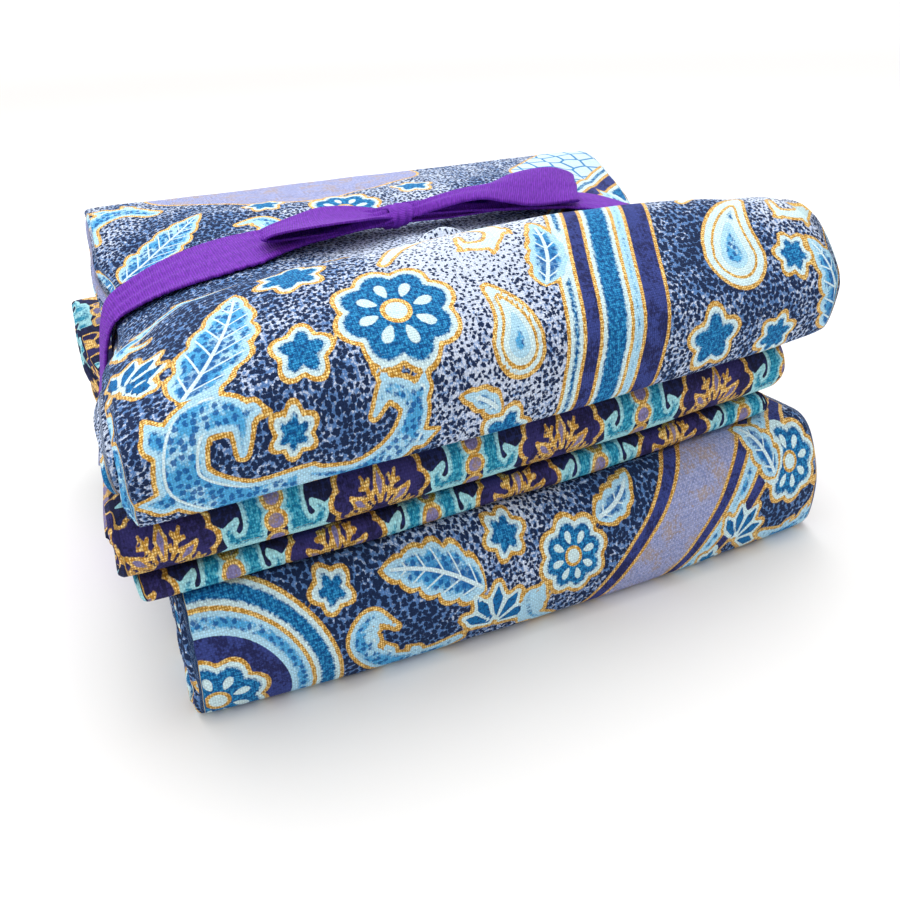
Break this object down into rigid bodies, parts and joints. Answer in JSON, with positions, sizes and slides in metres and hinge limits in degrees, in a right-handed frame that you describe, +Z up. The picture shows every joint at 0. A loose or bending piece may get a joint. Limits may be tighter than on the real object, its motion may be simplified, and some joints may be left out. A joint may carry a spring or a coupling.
{
  "type": "folded fabric bundle",
  "caption": "Stack of folded printed cotton cuts, tied across the middle with a flat ribbon that ends in a small two-loop bow",
  "frame": {"origin": "on the surface under the stack, below the middle of its box", "axes": "+X along the front folds from left to right, +Y from the front folds to the back, +Z up"},
  "size_m": [0.1512, 0.1294, 0.0734],
  "materials": {
    "large_print_cotton": "plain-woven quilting cotton, printed in blues and lavender with fine metallic gold outlines, matt",
    "border_print_cotton": "plain-woven quilting cotton, printed as a dark navy border with teal and metallic gold, matt",
    "woven_ribbon": "finely ribbed woven ribbon in purple, soft satin"
  },
  "bodies": {
    "root": {"packet_bottom": "large_print_cotton", "packet_middle": "border_print_cotton", "packet_top": "large_print_cotton", "ribbon_tie": "woven_ribbon"}
  },
  "joints": []
}
